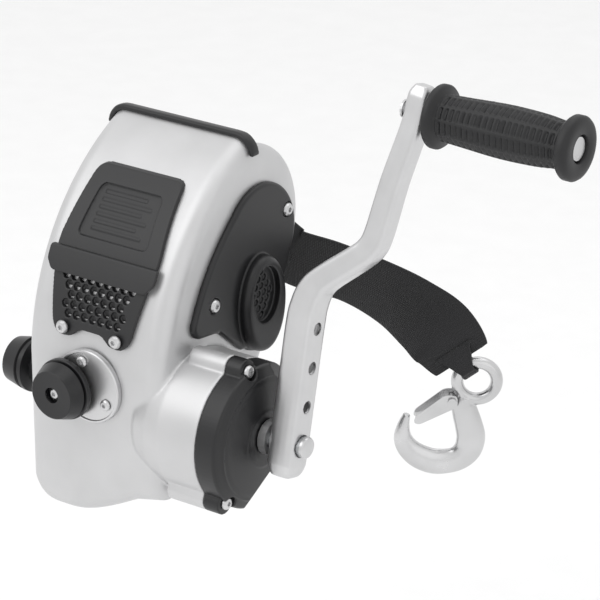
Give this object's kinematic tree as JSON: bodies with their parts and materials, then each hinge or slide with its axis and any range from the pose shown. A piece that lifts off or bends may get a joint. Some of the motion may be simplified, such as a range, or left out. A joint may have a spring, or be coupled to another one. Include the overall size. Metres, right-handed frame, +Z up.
{
  "type": "boat trailer winch",
  "caption": "Enclosed hand winch for a boat trailer, with a geared crank, rotating grip, webbing strap and latched hook.",
  "frame": {"origin": "centre of the underside of the frame's base, where the winch bolts to its stand", "axes": "+Z up, -Y towards the front with the selector, +X along the crank shaft towards the crank"},
  "size_m": [0.41, 0.25, 0.3279],
  "materials": {
    "cast_housing": "satin cast",
    "black_plastic": "fine moulded texture",
    "bezel_plastic": "satin",
    "knob_plastic": "satin moulded",
    "zinc_plate": "bright zinc plate",
    "forged_zinc": "forged, zinc plated",
    "plain_steel": "machined",
    "bronze_bush": "sintered bronze",
    "grip_rubber": "ribbed",
    "webbing": "woven"
  },
  "bodies": {
    "winch": {"frame": "plain_steel", "front_housing": "cast_housing", "rear_shell": "black_plastic", "side_cover_right": "black_plastic", "side_cover_left": "black_plastic", "side_cover_screw_right_1": "zinc_plate", "side_cover_screw_right_2": "zinc_plate", "side_cover_screw_left_1": "zinc_plate", "side_cover_screw_left_2": "zinc_plate", "gear_cover": "black_plastic", "gear_cover_screw_1": "zinc_plate", "gear_cover_screw_2": "zinc_plate", "gear_cover_screw_3": "zinc_plate", "label_bezel": "bezel_plastic", "bezel_band": "bezel_plastic", "bezel_screw_1": "zinc_plate", "bezel_screw_2": "zinc_plate", "selector_plate": "zinc_plate", "selector_plate_screw_1": "zinc_plate", "selector_plate_screw_2": "zinc_plate", "drum_axle": "plain_steel", "idler_pin": "plain_steel", "ring_gear": "plain_steel", "shaft_bush_left": "bronze_bush", "shaft_bush_right": "bronze_bush", "pawl_pin": "plain_steel", "strap_tail": "webbing", "strap_loop": "webbing"},
    "drum": {"drum": "plain_steel", "drum_gear": "plain_steel", "strap_roll": "webbing"},
    "idler": {"idler_gear": "plain_steel"},
    "carrier": {"planet_carrier": "plain_steel", "planet_pin_1": "plain_steel", "planet_pin_2": "plain_steel", "planet_pin_3": "plain_steel"},
    "planet_1": {"planet_gear_1": "plain_steel"},
    "planet_2": {"planet_gear_2": "plain_steel"},
    "planet_3": {"planet_gear_3": "plain_steel"},
    "crank": {"drive_shaft": "plain_steel", "sun_gear": "plain_steel", "ratchet_wheel": "plain_steel", "crank_arm": "zinc_plate", "hub_washer_inner": "zinc_plate", "hub_bolt": "zinc_plate", "grip_bolt": "zinc_plate"},
    "grip": {"grip": "grip_rubber"},
    "selector": {"selector_knob": "knob_plastic", "selector_knob_screw": "zinc_plate"},
    "pawl": {"ratchet_pawl": "plain_steel"},
    "shifter": {"shift_knob": "knob_plastic", "shift_rod": "plain_steel"},
    "hook": {"hook": "forged_zinc", "latch_pin": "forged_zinc"},
    "latch": {"hook_latch": "forged_zinc"}
  },
  "joints": [
    {"name": "drum_spin", "type": "hinge", "parent": "winch", "child": "drum", "pos_m": [0, 0.02585, 0.138], "axis": [1, 0, 0], "continuous": true},
    {"name": "idler_spin", "type": "hinge", "parent": "winch", "child": "idler", "pos_m": [0, -0.01722, 0.0803], "axis": [1, 0, 0], "continuous": true},
    {"name": "carrier_spin", "type": "hinge", "parent": "winch", "child": "carrier", "pos_m": [0, -0.02815, 0.046], "axis": [1, 0, 0], "continuous": true},
    {"name": "crank_turn", "type": "hinge", "parent": "winch", "child": "crank", "pos_m": [0, -0.02815, 0.046], "axis": [1, 0, 0], "continuous": true},
    {"name": "planet_1_spin", "type": "hinge", "parent": "carrier", "child": "planet_1", "pos_m": [0, -0.02815, 0.073], "axis": [1, 0, 0], "continuous": true},
    {"name": "planet_2_spin", "type": "hinge", "parent": "carrier", "child": "planet_2", "pos_m": [0, -0.05153, 0.0325], "axis": [1, 0, 0], "continuous": true},
    {"name": "planet_3_spin", "type": "hinge", "parent": "carrier", "child": "planet_3", "pos_m": [0, -0.00477, 0.0325], "axis": [1, 0, 0], "continuous": true},
    {"name": "grip_spin", "type": "hinge", "parent": "crank", "child": "grip", "pos_m": [0.258, 0.02359, 0.27011], "axis": [1, 0, 0], "continuous": true},
    {"name": "selector_turn", "type": "hinge", "parent": "winch", "child": "selector", "pos_m": [-0.016, -0.07815, 0.063], "axis": [0, 1, 0], "range_deg": [-40, 40]},
    {"name": "pawl_rock", "type": "hinge", "parent": "winch", "child": "pawl", "pos_m": [-0.016, -0.05015, 0.07], "axis": [1, 0, 0], "range_deg": [-10, 10]},
    {"name": "shift_slide", "type": "slide", "parent": "winch", "child": "shifter", "axis": [-1, 0, 0], "range_m": [0, 0.01]},
    {"name": "hook_swing", "type": "hinge", "parent": "winch", "child": "hook", "pos_m": [0.15561, 0.14328, 0.04398], "axis": [0.6611, 0.4733, 0.5822], "range_deg": [-45, 45]},
    {"name": "latch_swing", "type": "hinge", "parent": "hook", "child": "latch", "pos_m": [0.14818, 0.13796, 0.02], "axis": [0.5821, -0.8131, 0], "range_deg": [0, 40], "stiffness_Nm_per_rad": 0.05, "springref_deg": -17.19}
  ],
  "couplings": [
    {"joint": "idler_spin", "follows": "drum_spin", "ratio": -2},
    {"joint": "carrier_spin", "follows": "drum_spin", "ratio": 4},
    {"joint": "crank_turn", "follows": "drum_spin", "ratio": 12},
    {"joint": "planet_1_spin", "follows": "drum_spin", "ratio": -16},
    {"joint": "planet_2_spin", "follows": "drum_spin", "ratio": -16},
    {"joint": "planet_3_spin", "follows": "drum_spin", "ratio": -16},
    {"joint": "pawl_rock", "follows": "selector_turn", "ratio": 0.25}
  ]
}
